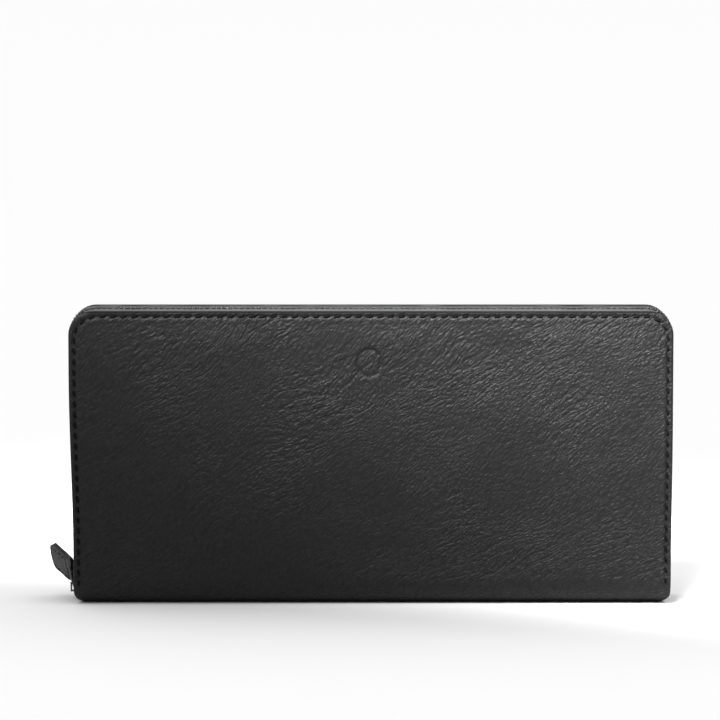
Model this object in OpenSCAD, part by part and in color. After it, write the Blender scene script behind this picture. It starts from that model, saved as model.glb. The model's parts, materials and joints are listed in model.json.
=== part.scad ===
// Long zip-around wallet, closed and standing on its spine.
// +X runs along the length, +Y from the front cover to the back cover, +Z up.
// The origin is the centre of the spine's resting face.

/* [Outside] */
// Length of the covers
wallet_w = 200; // [190:1:210]
// Height of the covers, from the spine's resting face
panel_h = 98; // [95:1:105]
// Thickness of the closed wallet
wallet_d = 26; // [26:1:30]
// Radius of the covers' top corners, seen from the front
top_corner_r = 8; // [6:0.5:10]
// Radius of the spine's ends, seen from the front
spine_corner_r = 4; // [2:0.5:5]
// Radius of the folds between the spine and the covers
spine_fold_r = 9; // [8:0.5:10]

/* [Layers] */
// Outer leather
leather_t = 1.2; // [1:0.1:1.4]
// Stiffening board
board_t = 0.8; // [0.6:0.1:1]
// Cloth lining
lining_t = 0.4; // [0.3:0.05:0.5]
// Leather of one card pocket
pocket_t = 0.5; // [0.4:0.05:0.5]
// Leather of one side gusset
gusset_t = 0.5; // [0.3:0.1:0.5]

/* [Main zip] */
// Height of the zip's teeth above the covers' top edge
zip_proud = 0.7; // [0:0.1:1.2]
// Half the distance between the two runs of teeth, measured at the parked slider
zip_end_half = 97; // [96:0.5:98]
// Lean of the zip's side runs from the vertical, in degrees
zip_slope = 2.4; // [0:0.1:3]
// Width of one half of the teeth
coil_w = 1.55; // [1.2:0.05:1.6]
// Depth of the teeth
coil_t = 1.9; // [1.5:0.1:2]
// Height of the parked slider's middle
slider_z = 6.9; // [6.9:0.1:8]
// Length of the slider
slider_len = 8.5; // [7:0.5:9]
// Width of the slider
slider_w = 9.2; // [8.6:0.1:10]

/* [Pull] */
// Radius of the half-round wire loop, to the middle of the wire
ring_r = 5.6; // [5.6:0.1:6]
// Radius of the loop's wire
wire_r = 0.45; // [0.4:0.05:0.5]
// Length of the leather tab from the loop's bar
tab_len = 13; // [10:0.5:14]
// Width of the leather tab
tab_w = 10; // [7:0.5:10]
// Turn of the loop's bar from the upright, in degrees
bar_turn = 27; // [0:1:40]
// Lean of the loop away from the slider, in degrees
ring_lean = 6; // [6:1:20]
// Angle between the tab and the loop, in degrees
tab_lift = 29; // [20:1:60]

/* [Inside] */
// Half width of the card pockets on the covers
pocket_half = 89; // [88:0.5:89]
// Step between the mouths of neighbouring card pockets
pocket_step = 11; // [9:0.5:12]
// Height of the coin pocket's mouth
coin_top = 76; // [70:1:78]
// Half width of the coin pocket
coin_half = 93; // [90:0.5:93]
// Depth of the side gussets' folds
gusset_fold = 11; // [8:0.5:11]

/* [Hidden] */
$fn = 64;

far = 60;                                  // longer than any cut needs
half_d = wallet_d / 2;
half_w = wallet_w / 2;
fold_y = half_d - spine_fold_r;            // centre of the spine's round folds
leather_y = half_d - leather_t;            // inner face of the outer leather
board_y = leather_y - board_t;             // inner face of the board
lining_y = board_y - lining_t;             // inner face of the lining
hinge_gap = 0.1;                           // between a cover and the spine
cover_z = spine_fold_r + hinge_gap;        // lowest edge of both covers

seam_in = 1.4;                             // edge of the sewn groove from the cover's edge
groove_w = 1;
groove_depth = 0.6;
thread_side = 0.2;                         // thread to the groove's sides
thread_sink = 0.05;                        // thread to the cover's face

tape_out = 1.0;                            // outer face of the tape below the teeth's outer face
tape_t = 0.6;
tape_hem = 8;                              // width of the tape glued inside the cover
split = 0.05;                              // half the gap between the two rows of teeth
tape_edge_y = split + coil_w;              // the tape ends where the teeth begin
zip_corner_r = 9;
zip_corner_z = panel_h + zip_proud - zip_corner_r;
zip_side_z = zip_corner_z - zip_corner_r * sin(zip_slope);
zip_corner_x = zip_end_half + (zip_side_z - slider_z) * tan(zip_slope)
    - zip_corner_r * cos(zip_slope);
slider_top_z = slider_z + slider_len / 2;
coil_z = slider_top_z + 0.4;               // the teeth start above the parked slider
tape_z = slider_top_z + 1;                 // the tapes start just above that
tail_z = 2.8;                              // lowest end of the tape tails
tail_gap = 0.2;

board_half = zip_end_half - tape_hem - 1.5;
lining_half = zip_end_half - 2.5;
board_top = zip_corner_z + zip_corner_r - tape_hem - 2;
lining_top = panel_h - 2.2;

pocket_z = 11;                             // lowest edge of the card pockets
first_pocket_top = 84;                     // mouth of the tallest card pocket
coin_z = 8;                                // lowest edge of the coin pocket
coin_room = 2.2;                           // half the inside of the coin pocket
coin_lining_t = 0.3;
coin_wall_t = 0.6;
coin_lining_y = coin_room + coin_lining_t;
coin_face_y = coin_lining_y + coin_wall_t;
mid_pocket_t = 0.4;
mid_pocket_half = 81;
mid_pocket_tops = [64, 53];

gusset_y = 10.3;                           // the gusset's outer edge, at the cover
gusset_fold_y = 6.2;
gusset_mid_y = 3.9;                        // the gusset's inner edge, at the coin pocket
gusset_x = 94.8;
gusset_mid_x = 93.4;
gusset_top = 88;

coin_tape_t = 0.5;
coin_tape_y = 1;
coin_coil_half = 0.8;
coin_coil_t = 1.6;
coin_zip_half = 84;
coin_slider_x = 78;
coin_slider_len = 7;
coin_clear = 0.25;
coin_plate_t = 0.7;
coin_top_z = coin_top + coin_coil_t + coin_clear;
coin_pull_len = 12;
coin_pin_z = coin_top_z + coin_plate_t + 1;

plate_t = 1;                               // the slider's plates
zip_clear = 0.25;                          // slider to teeth and tape
lip_w = 1;
bail_w = 1.2;
bail_hole = 1.9;
bail_bar = 0.5;
ring_low = -2.6;                           // lowest point of the loop, from the slider's middle
ring_u = zip_clear + plate_t + bail_hole / 2;
tab_fold_r = 0.95;
tab_bore_r = 0.5;
tab_t = 2;
filler_t = 0.5;

leather_black = "#1b1b1d";
leather_inside = "#242326";
cloth_black = "#202124";
board_grey = "#8d8a84";
tape_black = "#17181a";
nylon_black = "#101012";
metal_black = "#3a3b3e";
thread_black = "#0c0c0d";

// ---- placing ----

// A front-view outline made into a plate from y0 to y0 + t
module in_xz(y0, t) {
    translate([0, y0 + t, 0])
        rotate([90, 0, 0])
            linear_extrude(t) children();
}

// A side-view section carried along the length
module along_x(x0, len) {
    translate([x0, 0, 0])
        rotate([90, 0, 90])
            linear_extrude(len) children();
}

// Children as drawn for the back, turned over to the front
module to_front(front) {
    if (front) mirror([0, 1, 0]) children();
    else children();
}

module to_left(left) {
    if (left) mirror([1, 0, 0]) children();
    else children();
}

// The zip's own frame at the parked slider: X points out of the wallet's left side, Z along the teeth
module at_slider() {
    translate([-zip_end_half, 0, slider_z])
        rotate([0, -zip_slope, 0])
            mirror([1, 0, 0]) children();
}

// The loop's frame: origin at the wire in the bail, Z up the loop, X out of its plane
module at_ring() {
    at_slider()
        translate([ring_u, 0, ring_low])
            rotate([0, ring_lean, 0]) children();
}

// The tab's frame: origin at the loop's bar, Y along the bar, X along the tab, Z towards its outer face
module at_tab() {
    at_ring()
        translate([0, 0, ring_r])
            rotate([bar_turn, 0, 0])
                rotate([0, 0, 90 - tab_lift])
                    rotate([90, 0, 0])
                        mirror([0, 1, 0]) children();
}

// ---- outlines ----

// Cover outline, a little smaller by inset, from z_low up
module panel_2d(inset, z_low) {
    half = half_w - inset;
    top = panel_h - inset;
    r = top_corner_r - inset;
    translate([-half, z_low])
        square([2 * half, top - r - z_low]);
    translate([r - half, z_low])
        square([2 * (half - r), top - z_low]);
    for (side = [-1, 1])
        translate([side * (half - r), top - r]) circle(r);
}

// Arch that the zip follows, smaller by inset, from z_low up
module zip_2d(inset, z_low) {
    r = zip_corner_r - inset;
    side_x = zip_corner_x + r * cos(zip_slope);
    side_z = zip_corner_z - r * sin(zip_slope);
    low_x = side_x - (side_z - z_low) * tan(zip_slope);
    polygon([[-low_x, z_low], [low_x, z_low], [side_x, side_z],
        [zip_corner_x, zip_corner_z + r], [-zip_corner_x, zip_corner_z + r], [-side_x, side_z]]);
    for (side = [-1, 1])
        translate([side * zip_corner_x, zip_corner_z]) circle(r);
}

// Arched band between two insets
module zip_band_2d(outer, inner, z_low) {
    difference() {
        zip_2d(outer, z_low);
        zip_2d(inner, z_low - 1);
    }
}

// Spine section, smaller by inset, up to the hinge line
module spine_2d(inset) {
    r = spine_fold_r - inset;
    translate([-fold_y, inset])
        square([2 * fold_y, r]);
    intersection() {
        for (side = [-1, 1])
            translate([side * fold_y, spine_fold_r]) circle(r);
        translate([-far, 0])
            square([2 * far, spine_fold_r]);
    }
}

module spine_layer(outer, inner, half) {
    along_x(-half, 2 * half)
        difference() {
            spine_2d(outer);
            spine_2d(inner);
        }
}

// Front outline of the spine with its two round lower corners
module spine_front_2d() {
    r = spine_corner_r;
    translate([-half_w, r])
        square([wallet_w, far]);
    translate([r - half_w, 0])
        square([wallet_w - 2 * r, far]);
    for (side = [-1, 1])
        translate([side * (half_w - r), r]) circle(r);
}

// ---- covers and spine ----

module cover_leather() {
    difference() {
        in_xz(leather_y, leather_t) panel_2d(0, cover_z);
        in_xz(half_d - groove_depth, groove_depth + 1)
            difference() {
                panel_2d(seam_in, cover_z - 1);
                panel_2d(seam_in + groove_w, cover_z - 2);
            }
    }
}

module cover_board() {
    in_xz(board_y, board_t)
        translate([-board_half, cover_z])
            square([2 * board_half, board_top - cover_z]);
}

module cover_lining() {
    in_xz(lining_y, lining_t)
        translate([-lining_half, cover_z])
            square([2 * lining_half, lining_top - cover_z]);
}

module stitching() {
    in_xz(half_d - groove_depth + thread_sink, groove_depth - 2 * thread_sink)
        difference() {
            panel_2d(seam_in + thread_side, cover_z);
            panel_2d(seam_in + groove_w - thread_side, cover_z - 1);
        }
}

module spine_leather() {
    color(leather_black)
        intersection() {
            spine_layer(0, leather_t, half_w);
            in_xz(-far, 2 * far) spine_front_2d();
        }
}

module spine_board() {
    color(board_grey) spine_layer(leather_t, leather_t + board_t, board_half);
}

module spine_lining() {
    color(cloth_black)
        spine_layer(leather_t + board_t, leather_t + board_t + lining_t, lining_half);
}

// Card pocket number n; number 1 lies on the lining and is the tallest
module card_pocket(n) {
    y = lining_y - n * pocket_t;
    top = first_pocket_top - (n - 1) * pocket_step;
    in_xz(y, pocket_t)
        translate([-pocket_half, pocket_z])
            square([2 * pocket_half, top - pocket_z]);
}

// Side gusset as one folded sheet; its fold points into the wallet
module gusset() {
    nose_x = gusset_x - gusset_fold;
    out_cut = gusset_t * 1.1;
    translate([0, 0, pocket_z])
        linear_extrude(gusset_top - pocket_z)
            polygon([[gusset_x, gusset_y], [gusset_x - out_cut, gusset_y],
                [nose_x, gusset_fold_y + gusset_t], [nose_x, gusset_fold_y - gusset_t],
                [gusset_mid_x - out_cut, gusset_mid_y], [gusset_mid_x, gusset_mid_y],
                [nose_x + 2 * out_cut, gusset_fold_y]]);
}

// ---- main zip ----

// One woven tape: a web across the wallet's edge and a hem inside the cover
module zip_tape() {
    in_xz(tape_edge_y, leather_y - tape_edge_y)
        zip_band_2d(tape_out, tape_out + tape_t, tape_z);
    in_xz(leather_y - tape_t, tape_t)
        zip_band_2d(tape_out, tape_hem, tape_z);
}

module zip_coil() {
    in_xz(split, coil_w)
        zip_band_2d(0, coil_t, coil_z);
}

// The four ends of the tapes, which run down into the ends of the spine
module zip_tape_tails() {
    inside = leather_t + board_t + lining_t + tail_gap;
    color(tape_black)
        intersection() {
            for (front = [false, true])
                to_front(front)
                    in_xz(tape_edge_y, lining_y - tape_edge_y - tail_gap)
                        intersection() {
                            zip_band_2d(tape_out, tape_out + tape_t, tail_z);
                            translate([-half_w, tail_z])
                                square([wallet_w, tape_z - tail_gap - tail_z]);
                        }
            along_x(-half_w, wallet_w) {
                spine_2d(inside);
                translate([-lining_y + tail_gap, spine_fold_r])
                    square([2 * (lining_y - tail_gap), far]);
            }
        }
}

// Two small blocks clamped on the tails below the parked slider
module zip_top_stops() {
    stop_w = 1.2;
    stop_h = 0.9;
    color(metal_black)
        for (front = [false, true])
            to_front(front)
                at_slider()
                    translate([-tape_out + 0.02, tape_edge_y + 0.1, -slider_len / 2 + 0.2])
                        cube([stop_h - 0.25, stop_w, 1.6]);
}

// Block across both tails at the zip's other end
module zip_bottom_stop() {
    color(metal_black)
        mirror([1, 0, 0])
            at_slider()
                translate([-tape_out + 0.02, -3, 1])
                    cube([1.4, 6, 3]);
}

// ---- slider and pull ----

// Shield-shaped plate of the slider, drawn flat: width along the first axis, length along the second
module shield_2d(w, len) {
    nose = 0.28 * w;
    shoulder = 0.34 * len;
    polygon([[-w / 2, -len / 2], [w / 2, -len / 2], [w / 2, len / 2 - shoulder],
        [nose, len / 2], [-nose, len / 2], [-w / 2, len / 2 - shoulder]]);
}

module slider_plate(u0, t) {
    translate([u0, 0, 0])
        rotate([90, 0, 90])
            linear_extrude(t) mirror([0, 1]) shield_2d(slider_w, slider_len);
}

module slider_body() {
    inner_top = -coil_t - zip_clear;
    lip_len = slider_len * 0.6;
    color(metal_black)
        at_slider() {
            slider_plate(zip_clear, plate_t);
            slider_plate(inner_top - plate_t * 0.8, plate_t * 0.8);
            // wedge between the two rows of teeth
            translate([inner_top - 0.1, -1, -slider_len / 2])
                cube([zip_clear - inner_top + 0.2, 2, 2.6]);
            // lips that turn towards the tapes
            for (side = [-1, 1])
                translate([0, side * (slider_w - lip_w) / 2, slider_len / 2 - lip_len / 2]) {
                    translate([-tape_out + zip_clear, -lip_w / 2, -lip_len / 2])
                        cube([tape_out, lip_w, lip_len]);
                    translate([inner_top - 0.05, -lip_w / 2, -lip_len / 2])
                        cube([coil_t - tape_out - tape_t + 0.05, lip_w, lip_len]);
                }
        }
}

// Small arch on the outer plate that the loop hangs in
module slider_bail() {
    z_low = ring_low - bail_hole / 2 - 0.1 - bail_bar;
    len = bail_hole + 0.2 + 2 * bail_bar;
    plate_u = zip_clear + plate_t;
    color(metal_black)
        at_slider()
            difference() {
                translate([plate_u, -bail_w / 2, z_low])
                    cube([bail_hole + bail_bar, bail_w, len]);
                translate([plate_u - 1, -bail_w, z_low + bail_bar])
                    cube([bail_hole + 1, 2 * bail_w, len - 2 * bail_bar]);
            }
}

// Half-round wire loop: a straight bar for the tab and an arc that passes through the bail
module pull_ring() {
    color(metal_black)
        at_ring()
            translate([0, 0, ring_r])
                rotate([bar_turn, 0, 0])
                    rotate([0, 90, 0]) {
                        // arc on the side away from the tab
                        rotate([0, 0, 180])
                            rotate_extrude(angle = 180)
                                translate([ring_r, 0]) circle(wire_r);
                        rotate([0, 90, 0])
                            translate([0, 0, -ring_r]) cylinder(h = 2 * ring_r, r = wire_r);
                        for (end = [-1, 1])
                            translate([end * ring_r, 0, 0]) sphere(wire_r);
                    }
}

// Plan of the tab: square at the fold, round corners at the tip
module tab_plan_2d(inset) {
    r = 2.5 - inset;
    half = tab_w / 2 - inset;
    tip = tab_len - inset;
    translate([-tab_fold_r, -half])
        square([tip - r + tab_fold_r, 2 * half]);
    translate([0, r - half])
        square([tip, 2 * (half - r)]);
    for (side = [-1, 1])
        translate([tip - r, side * (half - r)]) circle(r);
}

// One strip folded round the loop's bar, with its two ends sewn flat together
module tab_leather() {
    color(leather_black)
        at_tab()
            intersection() {
                rotate([90, 0, 0])
                    translate([0, 0, -tab_w / 2])
                        linear_extrude(tab_w)
                            difference() {
                                union() {
                                    circle(tab_fold_r);
                                    translate([0, -tab_t / 2]) square([tab_len, tab_t]);
                                }
                                circle(tab_bore_r);
                                translate([2, -filler_t / 2]) square([tab_len, filler_t]);
                            }
                translate([0, 0, -far / 2]) linear_extrude(far) tab_plan_2d(0);
            }
}

module tab_filler() {
    color(leather_inside)
        at_tab()
            translate([0, 0, 0.02 - filler_t / 2])
                linear_extrude(filler_t - 0.04)
                    intersection() {
                        tab_plan_2d(0.1);
                        translate([2.1, -tab_w]) square([tab_len, 2 * tab_w]);
                    }
}

// Thread on the tab's outer face, along both edges and the tip
module tab_stitching() {
    color(thread_black)
        at_tab()
            translate([0, 0, tab_t / 2 + 0.01])
                linear_extrude(0.25)
                    intersection() {
                        difference() {
                            tab_plan_2d(1);
                            tab_plan_2d(1.5);
                        }
                        translate([3, -tab_w]) square([tab_len, 2 * tab_w]);
                    }
}

// ---- coin pocket block ----

module coin_wall() {
    in_xz(coin_lining_y, coin_wall_t)
        translate([-coin_half, coin_z])
            square([2 * coin_half, coin_top - coin_z]);
}

module coin_lining() {
    in_xz(coin_room, coin_lining_t)
        translate([-coin_half, coin_z])
            square([2 * coin_half, coin_top - coin_z - 2]);
}

module mid_pocket(n) {
    in_xz(coin_face_y + (n - 1) * mid_pocket_t, mid_pocket_t)
        translate([-mid_pocket_half, pocket_z])
            square([2 * mid_pocket_half, mid_pocket_tops[n - 1] - pocket_z]);
}

module coin_tape() {
    translate([-coin_half, coin_tape_y, coin_top])
        cube([2 * coin_half, coin_face_y - coin_tape_y, coin_tape_t]);
}

module coin_coil() {
    color(nylon_black)
        translate([-coin_zip_half, -coin_coil_half, coin_top])
            cube([coin_slider_x - coin_slider_len / 2 - 0.3 + coin_zip_half,
                2 * coin_coil_half, coin_coil_t]);
}

module coin_stops() {
    color(metal_black)
        for (x = [-coin_zip_half - 2, coin_zip_half])
            translate([x, -2, coin_top + coin_tape_t + 0.02])
                cube([1.6, 4, 1]);
}

module coin_slider() {
    color(metal_black)
        translate([coin_slider_x, 0, 0]) {
            translate([-coin_slider_len / 2, -2.8, coin_top_z])
                cube([coin_slider_len, 5.6, coin_plate_t]);
            translate([-coin_slider_len / 2, -1.9, coin_top - coin_clear - coin_plate_t])
                cube([coin_slider_len, 3.8, coin_plate_t]);
            // wedge
            translate([coin_slider_len / 2 - 2, -0.7, coin_top - coin_clear - 0.1])
                cube([2, 1.4, coin_coil_t + 2 * coin_clear + 0.2]);
            // lips
            for (side = [-1, 1])
                translate([-coin_slider_len / 2, side * 2.4 - 0.4, coin_top + coin_tape_t + coin_clear])
                    cube([coin_slider_len, 0.8, coin_coil_t - coin_tape_t]);
        }
}

// Two cheeks that hold the pull's round end on a pin
module coin_bail() {
    color(metal_black)
        translate([coin_slider_x, 0, coin_top_z + coin_plate_t]) {
            for (side = [-1, 1])
                translate([-1, side * 1.5 - 0.3, 0]) cube([2, 0.6, 1.8]);
            translate([0, 1.3, 1])
                rotate([90, 0, 0]) cylinder(h = 2.6, r = 0.4);
        }
}

// Flat metal tag, round at both ends
module coin_pull() {
    color(metal_black)
        translate([coin_slider_x, 0, coin_pin_z])
            difference() {
                union() {
                    rotate([90, 0, 0])
                        translate([0, 0, -0.9]) cylinder(h = 1.8, r = 0.85);
                    translate([-coin_pull_len + 2, -0.9, -0.35]) cube([coin_pull_len - 2, 1.8, 0.7]);
                    translate([-coin_pull_len + 2, 0, -0.35]) cylinder(h = 0.7, r = 2.2);
                }
                rotate([90, 0, 0])
                    translate([0, 0, -2]) cylinder(h = 4, r = 0.45);
                translate([-coin_pull_len + 1.8, 0, -1]) cylinder(h = 2, r = 0.8);
            }
}

// ---- the pieces ----

module both(front, tint) {
    color(tint) to_front(front) children();
}

both(false, leather_black) cover_leather();  // cover_back_leather
both(false, board_grey) cover_board();  // cover_back_board
both(false, cloth_black) cover_lining();  // cover_back_lining
spine_leather();
spine_board();
spine_lining();
both(false, leather_inside) card_pocket(1);  // back_card_pocket_1
both(false, leather_inside) card_pocket(2);  // back_card_pocket_2
both(false, leather_inside) card_pocket(3);  // back_card_pocket_3
both(false, leather_inside) card_pocket(4);  // back_card_pocket_4
both(false, tape_black) zip_tape();  // zip_tape_back
both(false, nylon_black) zip_coil();  // zip_coil_back
zip_tape_tails();
zip_top_stops();
zip_bottom_stop();
both(false, thread_black) stitching();  // stitching_back
both(false, leather_inside) to_left(true) gusset();  // gusset_back_left
both(false, leather_inside) gusset();  // gusset_back_right
both(true, leather_black) cover_leather();  // cover_front_leather
both(true, board_grey) cover_board();  // cover_front_board
both(true, cloth_black) cover_lining();  // cover_front_lining
both(true, leather_inside) card_pocket(1);  // front_card_pocket_1
both(true, leather_inside) card_pocket(2);  // front_card_pocket_2
both(true, leather_inside) card_pocket(3);  // front_card_pocket_3
both(true, leather_inside) card_pocket(4);  // front_card_pocket_4
both(true, tape_black) zip_tape();  // zip_tape_front
both(true, nylon_black) zip_coil();  // zip_coil_front
both(true, thread_black) stitching();  // stitching_front
both(true, leather_inside) to_left(true) gusset();  // gusset_front_left
both(true, leather_inside) gusset();  // gusset_front_right
both(true, leather_inside) coin_wall();  // coin_wall_front
both(false, leather_inside) coin_wall();  // coin_wall_back
both(true, cloth_black) coin_lining();  // coin_lining_front
both(false, cloth_black) coin_lining();  // coin_lining_back
both(true, leather_inside) mid_pocket(1);  // mid_pocket_front_1
both(true, leather_inside) mid_pocket(2);  // mid_pocket_front_2
both(false, leather_inside) mid_pocket(1);  // mid_pocket_back_1
both(false, leather_inside) mid_pocket(2);  // mid_pocket_back_2
both(true, tape_black) coin_tape();  // coin_tape_front
both(false, tape_black) coin_tape();  // coin_tape_back
coin_coil();
coin_stops();
coin_slider();
coin_bail();
coin_pull();
slider_body();
slider_bail();
pull_ring();
tab_leather();
tab_filler();
tab_stitching();
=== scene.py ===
# %% [markdown]
# # A black long wallet with a zip round three sides
# The wallet stands closed on its spine. The frame below holds its working parts: covers, card pockets, zips
# and pulls, each where it belongs and at its real size. This script gives it its looks: pebbled leather that
# wraps round the spine, turned and sewn edges, nylon teeth, woven tape and a folded leather tab.

import json
import math

import bmesh
import bpy
import numpy as np
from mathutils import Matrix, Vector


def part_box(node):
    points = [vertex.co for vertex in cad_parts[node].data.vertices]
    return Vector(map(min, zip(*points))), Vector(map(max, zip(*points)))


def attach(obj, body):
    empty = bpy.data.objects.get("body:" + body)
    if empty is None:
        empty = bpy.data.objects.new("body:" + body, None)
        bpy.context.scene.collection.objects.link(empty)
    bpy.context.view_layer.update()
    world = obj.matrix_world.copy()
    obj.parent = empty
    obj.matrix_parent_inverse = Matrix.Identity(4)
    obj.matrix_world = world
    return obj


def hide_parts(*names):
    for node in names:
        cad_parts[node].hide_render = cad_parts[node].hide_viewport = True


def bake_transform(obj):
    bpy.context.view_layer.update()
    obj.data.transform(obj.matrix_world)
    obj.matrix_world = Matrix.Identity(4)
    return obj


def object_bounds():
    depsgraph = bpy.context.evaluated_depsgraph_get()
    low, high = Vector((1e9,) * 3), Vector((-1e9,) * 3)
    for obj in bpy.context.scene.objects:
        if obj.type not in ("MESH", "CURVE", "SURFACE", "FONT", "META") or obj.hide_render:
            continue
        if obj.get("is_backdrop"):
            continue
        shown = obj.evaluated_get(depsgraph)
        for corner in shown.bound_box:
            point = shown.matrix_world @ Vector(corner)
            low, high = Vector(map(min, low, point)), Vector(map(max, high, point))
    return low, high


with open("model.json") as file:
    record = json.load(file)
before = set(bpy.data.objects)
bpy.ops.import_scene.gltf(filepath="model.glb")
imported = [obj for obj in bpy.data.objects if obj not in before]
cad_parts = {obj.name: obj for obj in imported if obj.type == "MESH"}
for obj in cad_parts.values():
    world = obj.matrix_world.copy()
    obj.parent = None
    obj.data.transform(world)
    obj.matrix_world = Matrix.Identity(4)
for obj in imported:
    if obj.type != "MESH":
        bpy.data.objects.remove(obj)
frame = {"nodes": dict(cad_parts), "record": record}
cad_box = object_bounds()
MM = 0.001
record = frame["record"]

# %% [markdown]
# ## Sizes
# The main sizes come from the frame's own boxes, so the looks fit the working parts. Corner radii and the
# stitches' pitch and inset, which no box tells, are stated here once. Lengths are kept in millimetres while
# shapes are worked out, because a leather worker thinks in them; a mesh is made in metres.

# %% Sizes from the frame
def node_box(node):
    """Lowest and highest corner of a node at rest, in millimetres."""
    low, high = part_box(node)
    return np.array(low) / MM, np.array(high) / MM


cover_low, cover_high = node_box("cover_back_leather")
spine_high = node_box("spine_leather")[1]
HALF_W = cover_high[0]                      # half the wallet's length
HALF_D = cover_high[1]                      # half its thickness
TOP = cover_high[2]                         # top edge of the covers
LEATHER = cover_high[1] - cover_low[1]      # thickness of the outer leather
FOLD_R = spine_high[2]                      # radius of the folds beside the spine
FOLD_Y = HALF_D - FOLD_R
TOP_R = 8.0                                 # corner radius of the covers
SPINE_CORNER = 4.0                          # corner radius at the spine's ends
SEAM = 1.8                                  # stitches run this far in from the edge
STITCH_PITCH = 3.5
print(f"wallet {2 * HALF_W:.0f} x {2 * HALF_D:.0f} x {TOP:.0f} mm, leather {LEATHER:.1f} mm")

# %% [markdown]
# ## Meshes from grids
# A sheet of leather is a surface, and a surface is a grid of points: rows one way, columns the other. All the
# shapes here are worked out as whole numpy arrays and handed to Blender in one go. A grid that closes on
# itself, such as a ring or a tube, joins its last column to its first.

# %% Grid to mesh
def grid_faces(rows, cols, wrap):
    """Quads of a grid: each face joins (r, c), (r, c+1), (r+1, c+1) and (r+1, c)."""
    r = np.arange(rows - 1)[:, None]
    c = np.arange(cols if wrap else cols - 1)[None, :]
    right = (c + 1) % cols
    corners = [r * cols + c, r * cols + right, (r + 1) * cols + right, (r + 1) * cols + c]
    return np.stack(corners, -1).reshape(-1, 4)


def make_object(name, points, faces, caps=()):
    """Mesh object from points in millimetres; doubles are merged and faces turned outwards."""
    mesh = bpy.data.meshes.new(name)
    places = (np.asarray(points).reshape(-1, 3) * MM).tolist()
    mesh.from_pydata(places, [], [list(f) for f in faces] + list(caps))
    work = bmesh.new()
    work.from_mesh(mesh)
    bmesh.ops.remove_doubles(work, verts=work.verts, dist=2e-6)
    bmesh.ops.dissolve_degenerate(work, edges=work.edges, dist=1e-6)
    bmesh.ops.recalc_face_normals(work, faces=work.faces)
    work.to_mesh(mesh)
    work.free()
    mesh.shade_smooth()
    piece = bpy.data.objects.new(name, mesh)
    bpy.context.collection.objects.link(piece)
    return piece


def tube(name, rings):
    """Closed tube through rings of points (rings, sides, 3), with flat ends."""
    rows, cols = rings.shape[:2]
    ends = [list(range(cols)), list(range((rows - 1) * cols, rows * cols))]
    return make_object(name, rings, grid_faces(rows, cols, True), ends)


def flat_edges(piece, degrees=35):
    """Keep edges sharper than this angle crisp."""
    piece.data.set_sharp_from_angle(angle=math.radians(degrees))
    return piece


print("faces of a 3 by 4 grid: flat", len(grid_faces(3, 4, False)), "as a tube", len(grid_faces(3, 4, True)))

# %% [markdown]
# ## Soft unevenness
# Hide is never flat. A sum of plane waves with random directions and nearly the same length gives soft hills
# and hollows of a chosen size. The seed fixes the draw, so each run gives the same hide.

# %% Unevenness
def hills(a, b, size, seed, waves=14):
    """Sum of waves cos(k (a cos turn + b sin turn) + phase), each about size long, spread about 1."""
    rng = np.random.default_rng(seed)
    turn = rng.uniform(0, 2 * np.pi, waves)
    k = 2 * np.pi / (size * rng.uniform(0.7, 1.5, waves))
    phase = rng.uniform(0, 2 * np.pi, waves)
    total = 0
    for i in range(waves):
        total = total + np.cos(k[i] * (a * np.cos(turn[i]) + b * np.sin(turn[i])) + phase[i])
    return total * math.sqrt(2 / waves)


def bell(x, centre, width):
    """Smooth bump exp(-((x - centre) / width)^2)."""
    return np.exp(-((x - centre) / width) ** 2)


def ease(x, low, high):
    """0 below low, 1 above high, and the smooth ramp t^2 (3 - 2 t) between."""
    t = np.clip((x - low) / (high - low), 0, 1)
    return t * t * (3 - 2 * t)


spread = hills(np.arange(200.0)[:, None], np.arange(200.0)[None, :], 20, 1).std()
print(f"spread of one set of hills: {spread:.2f}")

# %% [markdown]
# ## Rings inside a round-cornered outline
# A cut piece of leather has straight sides and round corners. Rings that follow its outline and step inwards
# put fine rows where the edge is rolled and sewn, and wide ones in the calm middle. The innermost ring closes
# on itself as a line, and the piece's other face comes back out from there.

# %% Ring layout
GATHER = 0.095               # share by which columns lie closer together in the middle of a long side


def ring_plan(count_x, count_z, count_corner):
    """Points round a rectangle: place between the corner centres, -1..1 in x and z, and outward angle."""
    side = lambda n: np.arange(n) / n
    gather = lambda u: u + GATHER * np.sin(2 * np.pi * u)
    step = side(count_corner) * np.pi / 2
    top = np.stack([1 - 2 * gather(side(count_x)), np.ones(count_x), np.full(count_x, np.pi / 2)])
    left = np.stack([-np.ones(count_z), 1 - 2 * side(count_z), np.full(count_z, np.pi)])
    corner = lambda x, z, a: np.stack([np.full(count_corner, x), np.full(count_corner, z), a + step])
    bottom = np.stack([2 * gather(side(count_x)) - 1, -np.ones(count_x), np.full(count_x, 1.5 * np.pi)])
    right = np.stack([np.ones(count_z), 2 * side(count_z) - 1, np.zeros(count_z)])
    return np.concatenate([corner(1., 1., 0), top, corner(-1., 1., np.pi / 2), left,
                           corner(-1., -1., np.pi), bottom, corner(1., -1., 1.5 * np.pi), right], axis=1)


def ring_points(plan, inset, box, r_top, r_low):
    """Points at each inset (rows) round a rectangle box = (x0, x1, z0, z1) with its corner radii."""
    wx, wz, angle = plan
    x0, x1, z0, z1 = box
    half = min(x1 - x0, z1 - z0) / 2
    inset = np.minimum(np.asarray(inset, float), half)[:, None]
    shrink = 1 - inset / half
    r = (r_low + (r_top - r_low) * (wz + 1) / 2)[None, :] * shrink
    x = (x0 + x1) / 2 + wx * ((x1 - x0) / 2 - inset - r) + r * np.cos(angle)
    z = (z0 + z1) / 2 + wz * ((z1 - z0) / 2 - inset - r) + r * np.sin(angle)
    return x, z


print("points in a ring of 60 x 30 columns and 5 at each corner:", ring_plan(60, 30, 5).shape[1])

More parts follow.
